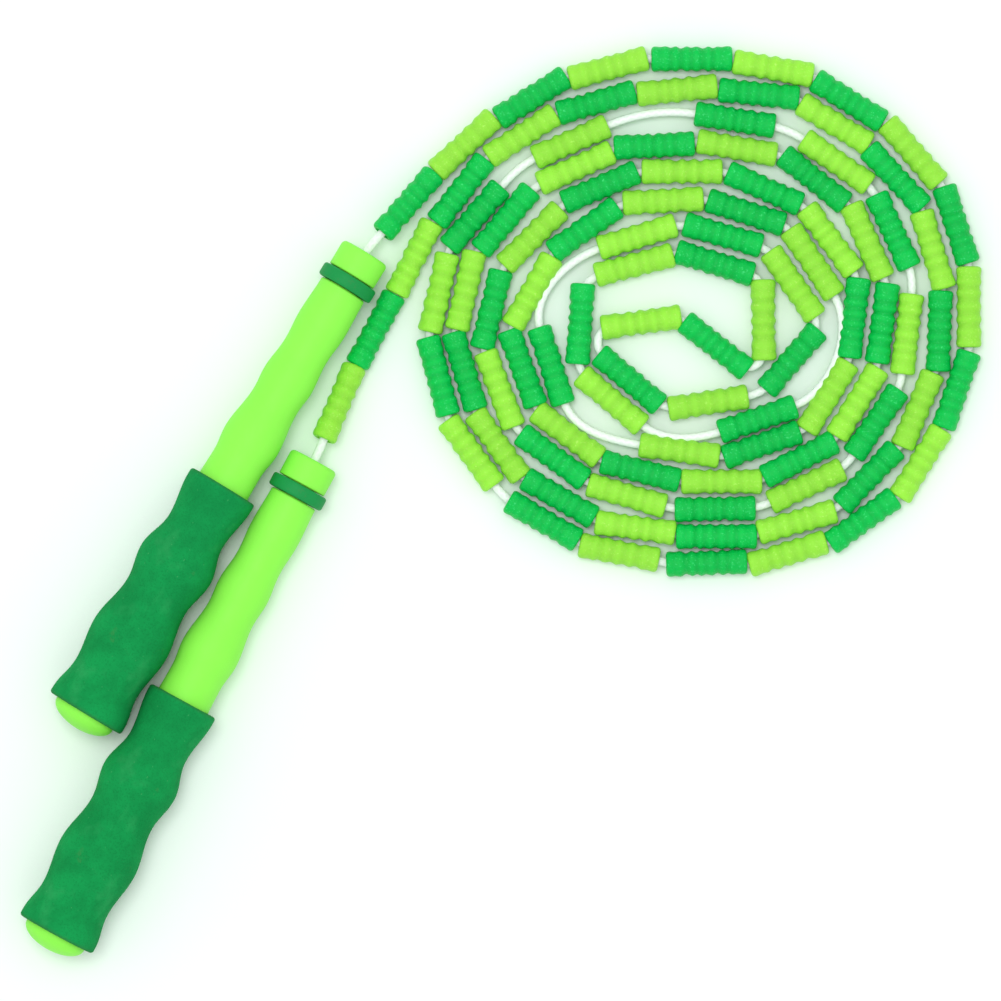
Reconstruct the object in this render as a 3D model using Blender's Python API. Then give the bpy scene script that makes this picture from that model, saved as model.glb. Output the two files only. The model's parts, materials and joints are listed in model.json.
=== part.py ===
"""A beaded jump rope, coiled flat on a surface beside its two handles.

Metres, +Z up, standing on z = 0. The origin is under the middle of the two handles.
Each handle is turned about its own axis. Its pieces are described by how far they
lie behind the front of its nose cap, and by their radius, and its empty stands at
the middle of that front with local +X pointing out along the cord.
"""

import math

import bmesh
import bpy
from mathutils import Euler, Matrix, Vector

MM = 0.001

# ---------------------------------------------------------------- handles
# the headings in degrees, the middle of one nose's front on the ground plan, and how
# far the other handle lies ahead of it and the room left between the two
HEADING_A = 58.7
HEADING_B = 61.4
NOSE_B = Vector((34.1 * MM, 42.8 * MM, 0.0))
HANDLE_AHEAD = 63.2 * MM
HANDLE_GAP = 1.35 * MM
TURNED_SIDES = 24
SIDE_STEP = 0.5 * MM

NOSE_LENGTH = 8.3 * MM
NOSE_RADIUS = 7.8 * MM
NOSE_EDGE = 1.4 * MM
NOSE_TAPER = 0.1 * MM
NOSE_SPIGOT_LENGTH = 8.0 * MM

COLLAR_WIDTH = 4.2 * MM
COLLAR_RADIUS = 9.1 * MM
COLLAR_EDGE = 0.6 * MM

TUBE_LENGTH = 149.4 * MM
TUBE_BORE_RADIUS = 5.0 * MM
# crests and valleys of the tube: (distance behind the collar, radius)
FINGER_WAVES = (
    (0.0 * MM, 7.5 * MM),
    (12.4 * MM, 7.95 * MM),
    (22.2 * MM, 7.35 * MM),
    (32.6 * MM, 8.25 * MM),
    (39.9 * MM, 7.7 * MM),
    (54.0 * MM, 9.15 * MM),
    (62.2 * MM, 8.3 * MM),
    (72.4 * MM, 8.5 * MM),
    (86.4 * MM, 6.9 * MM),
    (98.3 * MM, 9.4 * MM),
    (109.6 * MM, 7.65 * MM),
    (124.9 * MM, 9.9 * MM),
    (139.0 * MM, 8.35 * MM),
    (149.4 * MM, 9.9 * MM),
)
STEPS_PER_WAVE = 2

GRIP_LENGTH = 81.0 * MM
GRIP_WALL = 2.2 * MM
GRIP_OVERHANG = 2.0 * MM
GRIP_EDGE = 1.2 * MM

CAP_DOME_HEIGHT = 7.0 * MM
CAP_RIM = 2.2 * MM
CAP_PLUG_LENGTH = 12.0 * MM
CAP_PLUG_WALL = 1.6 * MM

WASHER_THICKNESS = 1.0 * MM
KNOT_LENGTH = 6.5 * MM

FIT = 0.3 * MM
# the room round the cord in a nose, in a washer and in a bead
NOSE_CLEARANCE = 0.6 * MM
WASHER_CLEARANCE = 0.5 * MM
BEAD_CLEARANCE = 1.1 * MM
# the room round the washer and the knot in the tube
WASHER_PLAY = 0.6 * MM
KNOT_PLAY = 1.1 * MM

# ---------------------------------------------------------------- rope
CORD_DIAMETER = 2.6 * MM
BEAD_LENGTH = 24.8 * MM
BEAD_DIAMETER = 8.2 * MM
BEAD_EDGE = 0.6 * MM
BEAD_SIDES = 16

# how far above the surface a level bead and a sloping bead lie
REST_GAP = 0.02 * MM
BEAD_LIFT = 0.3 * MM
# how far the cord runs straight on in front of the nose
NOSE_EXIT = 2.5 * MM

# the beads that aren't coiled: each row starts at a place, on the ground plan or from
# a nose's front, and each bead has a heading and a fall over its length
BEADS_FROM_A = ((5.4 * MM, 6.0 * MM), (("bead_lead_a1", 51.0, 3.6 * MM),))
BEADS_FROM_B = (
    (4.6 * MM, 6.5 * MM),
    (("bead_lead_b1", 70.4, 3.6 * MM), ("bead_lead_b2", 68.8, 0.0)),
)
BEADS_LEFT = ((145.3 * MM, 85.7 * MM), (("bead_middle_left", 184.0, 0.0),))
BEADS_RIGHT = ((149.0 * MM, 83.0 * MM), (("bead_middle_right", -38.0, 0.0),))
# from the end of one bead in a row to the start of the next
BEAD_SPACING = Vector((1.8 * MM, 0.0, 0.0))
LIME_BEADS = {"bead_lead_b1", "bead_middle_left"}

# the cord's own points, in millimetres, after it has left the nose or the coil,
# and the height of its middle where it lies in the level beads
LEVEL = 4.17
LEAD_A_ROUTE = (
    (55.6, 112.3, 8.0),
    (59.3, 116.8, 7.15),
    (63.0, 121.3, 6.25),
    (66.8, 126.0, 5.35),
    (70.5, 130.6, 4.55),
    (75.1, 135.3, LEVEL),
    (79.9, 139.4, LEVEL),
    (84.5, 143.1, LEVEL),
)
LEAD_B_ROUTE = (
    (38.7, 49.6, 8.0),
    (40.4, 54.8, 7.15),
    (42.5, 60.6, 6.25),
    (44.6, 66.4, 5.35),
    (47.4, 71.8, 4.6),
    (50.3, 77.2, 4.25),
    (52.6, 83.0, LEVEL),
    (55.1, 89.2, LEVEL),
    (57.7, 95.0, LEVEL),
    (61.6, 101.8, LEVEL),
    (66.2, 109.0, LEVEL),
)
MIDDLE_ROUTE = (
    (119.1, 83.9, LEVEL),
    (125.1, 84.3, LEVEL),
    (133.3, 84.9, LEVEL),
    (141.1, 85.5, LEVEL),
    (145.5, 85.5, LEVEL),
    (148.9, 83.5, LEVEL),
    (152.1, 80.6, LEVEL),
    (158.5, 75.6, LEVEL),
    (165.1, 70.4, LEVEL),
    (169.1, 67.3, LEVEL),
)
CORD_STEP = 2.4 * CORD_DIAMETER
ROUTE_STEPS = 12

# the coil's left edge stays where it is; its open middle is two beads long and a bit
COIL_LEFT = 65.4 * MM
COIL_MIDDLE_Y = 88.8 * MM
COIL_RADII = (86.5 * MM, 81.8 * MM)
COIL_CENTRE = Vector((COIL_LEFT + COIL_RADII[0], COIL_MIDDLE_Y, 0.0))
COIL_HOLE_CENTRE = Vector((146.4 * MM, 79.1 * MM, 0.0))
COIL_HOLE_RADII = (BEAD_LENGTH + 4.2 * MM, BEAD_LENGTH - 3.8 * MM)
COIL_HEIGHT = BEAD_DIAMETER
COIL_SIDES = 48
COIL_EDGE_STEPS = 4

# ---------------------------------------------------------------- places along a handle
COLLAR_FRONT = NOSE_LENGTH + FIT
TUBE_FRONT = COLLAR_FRONT + COLLAR_WIDTH + FIT
TUBE_BACK = TUBE_FRONT + TUBE_LENGTH
SPIGOT_RADIUS = TUBE_BORE_RADIUS - FIT
SPIGOT_BACK = TUBE_FRONT + NOSE_SPIGOT_LENGTH
WASHER_FRONT = SPIGOT_BACK + FIT
KNOT_FRONT = WASHER_FRONT + WASHER_THICKNESS + FIT
GRIP_BACK = TUBE_BACK + GRIP_OVERHANG
GRIP_FRONT = GRIP_BACK - GRIP_LENGTH

# ---------------------------------------------------------------- fits round the cord
NOSE_BORE_RADIUS = CORD_DIAMETER / 2 + NOSE_CLEARANCE
WASHER_HOLE_RADIUS = CORD_DIAMETER / 2 + WASHER_CLEARANCE
WASHER_RADIUS = TUBE_BORE_RADIUS - WASHER_PLAY
KNOT_RADIUS = TUBE_BORE_RADIUS - KNOT_PLAY
BEAD_BORE_RADIUS = CORD_DIAMETER / 2 + BEAD_CLEARANCE


# ---------------------------------------------------------------- materials
def material(name, colour, roughness, metallic=0.0):
    """A Principled material with one colour."""
    made = bpy.data.materials.new(name)
    made.use_nodes = True
    shader = made.node_tree.nodes["Principled BSDF"]
    shader.inputs["Base Color"].default_value = (*colour, 1.0)
    shader.inputs["Roughness"].default_value = roughness
    shader.inputs["Metallic"].default_value = metallic
    made.diffuse_color = (*colour, 1.0)
    return made


def all_materials():
    """The finishes of the rope, by name."""
    return {
        "lime_handle_plastic": material("lime_handle_plastic", (0.26, 0.87, 0.09), 0.38),
        "green_foam": material("green_foam", (0.01, 0.33, 0.09), 0.85),
        "green_collar_plastic": material("green_collar_plastic", (0.02, 0.32, 0.08), 0.45),
        "lime_bead_plastic": material("lime_bead_plastic", (0.36, 0.88, 0.08), 0.35),
        "green_bead_plastic": material("green_bead_plastic", (0.01, 0.66, 0.11), 0.35),
        "white_cord": material("white_cord", (0.90, 0.92, 0.90), 0.8),
        "zinc_steel": material("zinc_steel", (0.62, 0.63, 0.65), 0.35, 1.0),
        "coiled_rope": material("coiled_rope", (0.12, 0.77, 0.10), 0.5),
    }


# ---------------------------------------------------------------- mesh helpers
def add_object(name, bm, finish, parent=None):
    """Turns a bmesh into a named object with one material."""
    bmesh.ops.recalc_face_normals(bm, faces=bm.faces)
    mesh = bpy.data.meshes.new(name)
    bm.to_mesh(mesh)
    bm.free()
    mesh.materials.append(finish)
    mesh.shade_smooth()
    mesh.set_sharp_from_angle(angle=math.radians(40))
    made = bpy.data.objects.new(name, mesh)
    bpy.context.scene.collection.objects.link(made)
    made.parent = parent
    return made


def turned(name, outline, sides, finish, parent=None):
    """A body of revolution about local X. The outline is (distance behind, radius).

    It starts and ends on the axis for a solid piece, and closes on itself for a
    piece with a bore.
    """
    bm = bmesh.new()
    rings = []
    for behind, radius in outline:
        if radius == 0.0:
            rings.append([bm.verts.new((-behind, 0.0, 0.0))])
            continue
        ring = []
        for i in range(sides):
            angle = 2 * math.pi * i / sides - math.pi / 2
            ring.append(bm.verts.new((-behind, radius * math.cos(angle), radius * math.sin(angle))))
        rings.append(ring)
    solid = len(rings[0]) == 1
    pairs = list(zip(rings, rings[1:]))
    if not solid:
        pairs.append((rings[-1], rings[0]))
    for near, far in pairs:
        for i in range(sides):
            j = (i + 1) % sides
            corners = [near[i % len(near)], near[j % len(near)], far[j % len(far)], far[i % len(far)]]
            unique = []
            for corner in corners:
                if corner not in unique:
                    unique.append(corner)
            bm.faces.new(unique)
    return add_object(name, bm, finish, parent)


def wave_radius(behind):
    """The tube's outer radius, flat on each crest and in each valley."""
    place = min(max(behind - TUBE_FRONT, 0.0), FINGER_WAVES[-1][0])
    for (start, first), (end, last) in zip(FINGER_WAVES, FINGER_WAVES[1:]):
        if place <= end:
            share = (place - start) / (end - start)
            return first + (last - first) * (1 - math.cos(math.pi * share)) / 2
    return FINGER_WAVES[-1][1]


def wave_stations(front, back):
    """Distances behind the nose, from front to back, that follow the waves."""
    stations = [front]
    for (start, _), (end, _) in zip(FINGER_WAVES, FINGER_WAVES[1:]):
        for step in range(STEPS_PER_WAVE):
            place = TUBE_FRONT + start + (end - start) * step / STEPS_PER_WAVE
            if front + 1.0 * MM < place < back - 1.0 * MM:
                stations.append(place)
    stations.append(back)
    return stations


# ---------------------------------------------------------------- pieces of a handle
def make_nose_cap(side, finish, parent):
    """Front plug: a round head, and a spigot that fits the tube's bore."""
    outline = [
        (0.0, NOSE_BORE_RADIUS),
        (0.0, NOSE_RADIUS - NOSE_EDGE),
        (NOSE_EDGE * 0.3, NOSE_RADIUS - NOSE_EDGE * 0.3),
        (NOSE_EDGE, NOSE_RADIUS),
        (NOSE_LENGTH, NOSE_RADIUS - NOSE_TAPER),
        (NOSE_LENGTH, SPIGOT_RADIUS),
        (SPIGOT_BACK, SPIGOT_RADIUS),
        (SPIGOT_BACK, NOSE_BORE_RADIUS),
    ]
    return turned(f"nose_cap_{side}", outline, TURNED_SIDES, finish, parent)


def make_collar(side, finish, parent):
    """Ring on the spigot, between the nose and the tube."""
    back = COLLAR_FRONT + COLLAR_WIDTH
    inner = SPIGOT_RADIUS + FIT
    outline = [
        (COLLAR_FRONT, inner),
        (COLLAR_FRONT, COLLAR_RADIUS - COLLAR_EDGE),
        (COLLAR_FRONT + COLLAR_EDGE, COLLAR_RADIUS),
        (back - COLLAR_EDGE, COLLAR_RADIUS),
        (back, COLLAR_RADIUS - COLLAR_EDGE),
        (back, inner),
    ]
    return turned(f"collar_ring_{side}", outline, TURNED_SIDES, finish, parent)


def make_tube(side, finish, parent):
    """Hollow handle with finger waves along its whole length."""
    outline = [(place, wave_radius(place)) for place in wave_stations(TUBE_FRONT, TUBE_BACK)]
    outline += [(TUBE_BACK, TUBE_BORE_RADIUS), (TUBE_FRONT, TUBE_BORE_RADIUS)]
    return turned(f"handle_tube_{side}", outline, TURNED_SIDES, finish, parent)


def make_grip(side, finish, parent):
    """Foam sleeve of even thickness, which follows the waves under it."""
    stations = wave_stations(GRIP_FRONT, GRIP_BACK)
    inner = [(place, wave_radius(place) + FIT) for place in stations]
    outer = [(place, radius + GRIP_WALL) for place, radius in inner]
    rounded = [
        (GRIP_FRONT, outer[0][1] - GRIP_EDGE),
        (GRIP_FRONT + GRIP_EDGE, outer[0][1]),
        *outer[1:-1],
        (GRIP_BACK - GRIP_EDGE, outer[-1][1]),
        (GRIP_BACK, outer[-1][1] - GRIP_EDGE),
    ]
    return turned(f"foam_grip_{side}", rounded + inner[::-1], TURNED_SIDES, finish, parent)


def make_end_cap(side, finish, parent):
    """Domed plug that closes the back of the tube, hollow inside its spigot."""
    rim_radius = wave_radius(TUBE_BACK)
    rim_front = TUBE_BACK + FIT
    dome_start = rim_front + CAP_RIM
    plug_front = rim_front - CAP_PLUG_LENGTH
    outline = [(rim_front + CAP_DOME_HEIGHT, 0.0)]
    dome_height = CAP_DOME_HEIGHT - CAP_RIM
    for degrees in (20, 40, 60, 90):
        angle = math.radians(degrees)
        outline.append((dome_start + dome_height * math.cos(angle), rim_radius * math.sin(angle)))
    outline += [
        (rim_front, rim_radius),
        (rim_front, SPIGOT_RADIUS),
        (plug_front, SPIGOT_RADIUS),
        (plug_front, SPIGOT_RADIUS - CAP_PLUG_WALL),
        (rim_front, SPIGOT_RADIUS - CAP_PLUG_WALL),
        (rim_front, 0.0),
    ]
    return turned(f"end_cap_{side}", outline, TURNED_SIDES, finish, parent)


def make_washer(side, finish, parent):
    """Flat washer that keeps the knot from pulling into the nose."""
    back = WASHER_FRONT + WASHER_THICKNESS
    outline = [
        (WASHER_FRONT, WASHER_HOLE_RADIUS),
        (WASHER_FRONT, WASHER_RADIUS),
        (back, WASHER_RADIUS),
        (back, WASHER_HOLE_RADIUS),
    ]
    return turned(f"cord_washer_{side}", outline, TURNED_SIDES, finish, parent)


def make_knot(side, finish, parent):
    """The knot in the cord's end, behind the washer."""
    outline = [(KNOT_FRONT, 0.0)]
    for degrees in (35, 65, 90, 115, 145):
        angle = math.radians(degrees)
        middle = KNOT_FRONT + KNOT_LENGTH / 2
        outline.append((middle - KNOT_LENGTH / 2 * math.cos(angle), KNOT_RADIUS * math.sin(angle)))
    outline.append((KNOT_FRONT + KNOT_LENGTH, 0.0))
    return turned(f"cord_knot_{side}", outline, BEAD_SIDES, finish, parent)


def resting_tilt():
    """The nose-down tilt and the height at the nose, with grip and collar touching down.

    The lowest line under a handle runs from the collar's front edge to one crest of
    the grip. The crest it rests on is the one that asks for the largest tilt.
    """
    touch_behind = COLLAR_FRONT + COLLAR_EDGE
    tilt = 0.0
    for place, _ in FINGER_WAVES:
        behind = TUBE_FRONT + place
        if GRIP_FRONT + GRIP_EDGE < behind < GRIP_BACK - GRIP_EDGE:
            radius = wave_radius(behind) + FIT + GRIP_WALL
            tilt = max(tilt, math.asin((radius - COLLAR_RADIUS) / (behind - touch_behind)))
    height = COLLAR_RADIUS * math.cos(tilt) - touch_behind * math.sin(tilt)
    return tilt, height


def side_radius(behind):
    """How far a handle reaches sideways at one distance behind its nose."""
    if GRIP_FRONT <= behind <= GRIP_BACK:
        return wave_radius(behind) + FIT + GRIP_WALL
    if COLLAR_FRONT <= behind <= COLLAR_FRONT + COLLAR_WIDTH:
        return COLLAR_RADIUS
    return NOSE_RADIUS if behind < COLLAR_FRONT else wave_radius(behind)


def nose_place(side):
    """The middle of a nose's front on the ground plan. Handle a lies beside handle b."""
    if side == "b":
        return NOSE_B
    splay = math.radians(HEADING_B - HEADING_A)
    aside = 0.0
    behind = HANDLE_AHEAD
    while behind < GRIP_BACK:
        reach = side_radius(behind) + side_radius(behind * math.cos(splay) - HANDLE_AHEAD)
        aside = max(aside, reach - behind * math.sin(splay))
        behind += SIDE_STEP
    offset = Vector((HANDLE_AHEAD, aside + HANDLE_GAP, 0.0))
    return NOSE_B + Matrix.Rotation(math.radians(HEADING_B), 3, "Z") @ offset


def handle_matrix(side):
    """Where a handle's own axes are in the world."""
    tilt, height = resting_tilt()
    heading = HEADING_A if side == "a" else HEADING_B
    turn = Euler((0.0, tilt, math.radians(heading))).to_matrix().to_4x4()
    place = nose_place(side) + Vector((0.0, 0.0, height))
    return Matrix.Translation(place) @ turn


def make_handle_frame(side):
    """The empty on the middle of the nose's front, local +X out along the cord."""
    frame = bpy.data.objects.new(f"handle_frame_{side}", None)
    bpy.context.scene.collection.objects.link(frame)
    frame.matrix_world = handle_matrix(side)
    return frame


def make_handle(side, finishes):
    """One handle with everything in it."""
    frame = make_handle_frame(side)
    make_nose_cap(side, finishes["lime_handle_plastic"], frame)
    make_collar(side, finishes["green_collar_plastic"], frame)
    make_tube(side, finishes["lime_handle_plastic"], frame)
    make_grip(side, finishes["green_foam"], frame)
    make_end_cap(side, finishes["lime_handle_plastic"], frame)
    make_washer(side, finishes["zinc_steel"], frame)
    make_knot(side, finishes["white_cord"], frame)


# ---------------------------------------------------------------- the rope
def make_bead(name, start, heading, fall, finish):
    """A tubular bead, level or sloping down, that starts at a place. Returns its end."""
    outline = [
        (-BEAD_LENGTH / 2, BEAD_BORE_RADIUS),
        (-BEAD_LENGTH / 2, BEAD_DIAMETER / 2 - BEAD_EDGE),
        (-BEAD_LENGTH / 2 + BEAD_EDGE, BEAD_DIAMETER / 2),
        (BEAD_LENGTH / 2 - BEAD_EDGE, BEAD_DIAMETER / 2),
        (BEAD_LENGTH / 2, BEAD_DIAMETER / 2 - BEAD_EDGE),
        (BEAD_LENGTH / 2, BEAD_BORE_RADIUS),
    ]
    bead = turned(name, outline, BEAD_SIDES, finish)
    slope = math.asin(fall / BEAD_LENGTH)
    turn = math.radians(heading)
    along = Vector((math.cos(turn), math.sin(turn), 0.0)) * BEAD_LENGTH * math.cos(slope)
    lift = BEAD_LIFT if fall else REST_GAP
    bead.rotation_euler = Euler((0.0, slope, turn))
    bead.location = start + along / 2
    bead.location.z = (BEAD_DIAMETER + fall) / 2 + lift
    return start + along


def make_bead_row(origin, row, finishes):
    """Beads one behind the other."""
    (x, y), beads = row
    start = origin + Vector((x, y, 0.0))
    for name, heading, fall in beads:
        colour = "lime_bead_plastic" if name in LIME_BEADS else "green_bead_plastic"
        start = make_bead(name, start, heading, fall, finishes[colour]) + BEAD_SPACING


def smooth_route(points):
    """Evenly spaced points on a smooth curve through the given ones."""
    ends = [2 * points[0] - points[1], *points, 2 * points[-1] - points[-2]]
    fine = []
    for before, start, end, after in zip(ends, ends[1:], ends[2:], ends[3:]):
        for step in range(ROUTE_STEPS):
            t = step / ROUTE_STEPS
            fine.append(
                0.5 * (
                    2 * start
                    + (end - before) * t
                    + (2 * before - 5 * start + 4 * end - after) * t**2
                    + (3 * start - before - 3 * end + after) * t**3
                )
            )
    fine.append(points[-1])
    travelled = [0.0]
    for start, end in zip(fine, fine[1:]):
        travelled.append(travelled[-1] + (end - start).length)
    count = max(2, round(travelled[-1] / CORD_STEP))
    even = []
    leg = 0
    for i in range(count + 1):
        target = travelled[-1] * i / count
        while leg < len(fine) - 2 and travelled[leg + 1] < target:
            leg += 1
        share = (target - travelled[leg]) / (travelled[leg + 1] - travelled[leg])
        even.append(fine[leg].lerp(fine[leg + 1], share))
    return even


def make_cord(name, points, finish):
    """A round cord through the points."""
    curve = bpy.data.curves.new(name, "CURVE")
    curve.dimensions = "3D"
    curve.bevel_depth = CORD_DIAMETER / 2
    curve.bevel_resolution = 2
    curve.use_fill_caps = True
    curve.resolution_u = 1
    curve.render_resolution_u = 0
    route = smooth_route(points)
    spline = curve.splines.new("POLY")
    spline.points.add(len(route) - 1)
    for target, place in zip(spline.points, route):
        target.co = (*place, 1.0)
    curve.materials.append(finish)
    made = bpy.data.objects.new(name, curve)
    bpy.context.scene.collection.objects.link(made)
    return made


def in_metres(route):
    """The chosen points as vectors."""
    return [Vector(point) * MM for point in route]


def lead_route(side, chosen):
    """From the knot, straight out through the nose, and on along the chosen points."""
    out = handle_matrix(side)
    behind = (KNOT_FRONT - FIT, SPIGOT_BACK / 2, 0.0, -NOSE_EXIT)
    return [out @ Vector((-place, 0.0, 0.0)) for place in behind] + in_metres(chosen)


def on_ellipse(centre, radii, turn):
    """The point at one angle on a level ellipse."""
    return centre + Vector((radii[0] * math.cos(turn), radii[1] * math.sin(turn), 0.0))


def round_edge(edge, outward):
    """From bottom to top round an edge that bulges outward, half the coil's height deep."""
    half = COIL_HEIGHT / 2
    points = []
    for step in range(COIL_EDGE_STEPS + 1):
        angle = math.pi * (step / COIL_EDGE_STEPS - 0.5)
        rise = Vector((0.0, 0.0, half * (1 + math.sin(angle))))
        points.append(edge + outward * half * (math.cos(angle) - 1) + rise)
    return points


def make_coil(finish):
    """The outer shape of the coiled turns: a flat ring with round edges."""
    bm = bmesh.new()
    rings = []
    for i in range(COIL_SIDES):
        turn = 2 * math.pi * i / COIL_SIDES
        outer = on_ellipse(COIL_CENTRE, COIL_RADII, turn)
        hole = on_ellipse(COIL_HOLE_CENTRE, COIL_HOLE_RADII, turn)
        outward = (outer - hole).normalized()
        section = round_edge(outer, outward) + round_edge(hole, -outward)[::-1]
        rings.append([bm.verts.new(point) for point in section])
    for ring, following in zip(rings, rings[1:] + rings[:1]):
        for i in range(len(ring)):
            j = (i + 1) % len(ring)
            bm.faces.new((ring[i], ring[j], following[j], following[i]))
    return add_object("rope_coil", bm, finish)


def make_rope(finishes):
    """The beads and cord that aren't coiled, and the coil."""
    make_bead_row(nose_place("a"), BEADS_FROM_A, finishes)
    make_bead_row(nose_place("b"), BEADS_FROM_B, finishes)
    make_bead_row(Vector(), BEADS_LEFT, finishes)
    make_bead_row(Vector(), BEADS_RIGHT, finishes)
    make_cord("cord_lead_a", lead_route("a", LEAD_A_ROUTE), finishes["white_cord"])
    make_cord("cord_lead_b", lead_route("b", LEAD_B_ROUTE), finishes["white_cord"])
    make_cord("cord_middle", in_metres(MIDDLE_ROUTE), finishes["white_cord"])
    make_coil(finishes["coiled_rope"])


def clear_scene():
    """Removes whatever the new file holds."""
    for existing in list(bpy.data.objects):
        bpy.data.objects.remove(existing, do_unlink=True)


def main():
    clear_scene()
    finishes = all_materials()
    for side in ("a", "b"):
        make_handle(side, finishes)
    make_rope(finishes)


main()
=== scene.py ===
"""The finished look of a beaded jump rope, laid out as an add-on and run as a script."""

import json
import math

import bmesh
import bpy
from bpy.props import FloatProperty, FloatVectorProperty, PointerProperty
from mathutils import Matrix, Vector, noise


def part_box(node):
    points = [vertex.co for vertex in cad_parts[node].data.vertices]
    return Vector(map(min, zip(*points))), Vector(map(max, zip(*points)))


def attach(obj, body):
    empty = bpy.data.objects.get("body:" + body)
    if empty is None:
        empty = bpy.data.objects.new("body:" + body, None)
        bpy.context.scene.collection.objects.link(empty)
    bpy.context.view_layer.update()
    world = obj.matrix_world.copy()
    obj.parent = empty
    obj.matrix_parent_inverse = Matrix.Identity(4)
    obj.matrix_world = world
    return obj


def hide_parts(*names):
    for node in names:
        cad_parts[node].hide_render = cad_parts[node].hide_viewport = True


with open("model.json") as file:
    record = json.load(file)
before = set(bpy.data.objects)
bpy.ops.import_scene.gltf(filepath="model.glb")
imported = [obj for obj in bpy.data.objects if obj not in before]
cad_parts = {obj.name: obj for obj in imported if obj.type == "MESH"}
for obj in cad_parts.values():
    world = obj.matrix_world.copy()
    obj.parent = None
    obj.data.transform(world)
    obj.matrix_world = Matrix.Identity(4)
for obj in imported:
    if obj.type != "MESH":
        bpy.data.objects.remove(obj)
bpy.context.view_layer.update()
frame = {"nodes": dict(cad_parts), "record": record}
JOINTS = {joint["name"]: joint for joint in frame["record"]["behaviour"]["joints"]}

bl_info = {
    "name": "Beaded Jump Rope",
    "version": (1, 0, 0),
    "blender": (4, 5, 0),
    "location": "View3D > Sidebar > Jump Rope",
    "description": "Makes the visible pieces of a beaded jump rope on its packed frame",
    "category": "Object",
}

MM = 0.001
SIDES = ("a", "b")
COIL_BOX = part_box("rope_coil")
COIL_HEIGHT = COIL_BOX[1][2] - COIL_BOX[0][2]


def length(name, default, description):
    """A size in metres that can be changed in the panel."""
    return FloatProperty(
        name=name,
        default=default,
        description=description,
        unit="LENGTH",
        subtype="DISTANCE",
        precision=5,
    )


def colour(name, default, description):
    """A linear colour that can be changed in the panel."""
    return FloatVectorProperty(
        name=name,
        default=default,
        description=description,
        size=3,
        min=0.0,
        max=1.0,
        subtype="COLOR",
    )


class RopeSettings(bpy.types.PropertyGroup):
    """Sizes and colours of the beads and the cord."""

    bead_length: length("Bead length", 24.8 * MM, "End to end")
    bead_diameter: length("Bead diameter", COIL_HEIGHT - 0.2 * MM, "Over the ribs")
    bead_bore: length("Bead bore", 4.8 * MM, "The hole that the cord runs in")
    rib_depth: length("Rib depth", 0.65 * MM, "From the top of a rib to the groove beside it")
    cord_diameter: length("Cord diameter", 2.6 * MM, "The braided cord")
    lime: colour("Lime bead", (0.31, 0.80, 0.056), "Every second bead")
    green: colour("Green bead", (0.0, 0.545, 0.078), "The beads between the lime ones")
    cord: colour("Cord", (0.90, 0.985, 0.925), "The braided cord")


class HandleSettings(bpy.types.PropertyGroup):
    """Sizes and colours of the two handles."""

    foam_wall: length("Foam wall", 2.5 * MM, "How thick the foam sleeve is")
    foam_length: length("Foam length", 81.0 * MM, "How long the foam sleeve is")
    collar_radius: length("Collar radius", 9.1 * MM, "Outside of the green ring")
    nose_radius: length("Nose radius", 7.8 * MM, "Outside of the nose cap")
    lime: colour("Handle", (0.265, 0.88, 0.08), "Tube, nose cap and end cap")
    foam: colour("Foam", (0.005, 0.262, 0.062), "The foam sleeve")
    collar: colour("Collar", (0.008, 0.27, 0.06), "The ring behind the nose")


class StageSettings(bpy.types.PropertyGroup):
    """The floor and the light."""

    floor: colour("Floor", (0.855, 0.95, 0.888), "The plain surface under the rope")
    sky: FloatProperty(name="Sky", default=0.86, min=0.0, description="Strength of the even light")
    lamp: FloatProperty(name="Lamp", default=46.0, min=0.0, description="Watts of the soft lamp")


# ---------------------------------------------------------------- places along a handle
NOSE_LENGTH = 8.3 * MM
NOSE_EDGE = 1.3 * MM
NOSE_BORE = 1.9 * MM
NOSE_LIP = 0.4 * MM
# the clearance between neighbours, and the small bevel on their sharp edges
FIT = 0.3 * MM
BEVEL = 0.3 * MM
COLLAR_FRONT = NOSE_LENGTH + FIT
COLLAR_BACK = COLLAR_FRONT + 4.2 * MM
COLLAR_EDGE = 0.8 * MM
COLLAR_DENT = 0.08 * MM
TUBE_FRONT = COLLAR_BACK + FIT
TUBE_BACK = TUBE_FRONT + 149.4 * MM
TUBE_BORE = 5.0 * MM
TUBE_EDGE = 0.4 * MM
SPIGOT_RADIUS = TUBE_BORE - FIT
SPIGOT_BACK = TUBE_FRONT + 8.0 * MM
FOAM_BACK = TUBE_BACK + 2.0 * MM
FOAM_EDGE = 0.9 * MM
FOAM_DENT = 0.16 * MM
FOAM_LINING_STEP = 3.0 * MM
CAP_FRONT = TUBE_BACK + FIT
CAP_RIM = 2.2 * MM
CAP_DOME = 4.8 * MM
CAP_DOME_STEPS = 14
CAP_PLUG_LENGTH = 12.0 * MM
CAP_PLUG_WALL = 1.6 * MM
KNOT_FRONT = SPIGOT_BACK + 1.6 * MM
# how many sides the turned plastic and the foam have round them
TURNED_SIDES = 96
FOAM_SIDES = 120
# crests and valleys of the tube: (distance behind the collar, radius)
FINGER_WAVES = (
    (0.0 * MM, 7.5 * MM),
    (12.4 * MM, 7.95 * MM),
    (22.2 * MM, 7.35 * MM),
    (32.6 * MM, 8.25 * MM),
    (39.9 * MM, 7.7 * MM),
    (54.0 * MM, 9.15 * MM),
    (62.2 * MM, 8.3 * MM),
    (72.4 * MM, 8.5 * MM),
    (86.4 * MM, 6.9 * MM),
    (98.3 * MM, 9.4 * MM),
    (109.6 * MM, 7.65 * MM),
    (124.9 * MM, 9.9 * MM),
    (139.0 * MM, 8.35 * MM),
    (149.4 * MM, 9.9 * MM),
)


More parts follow.
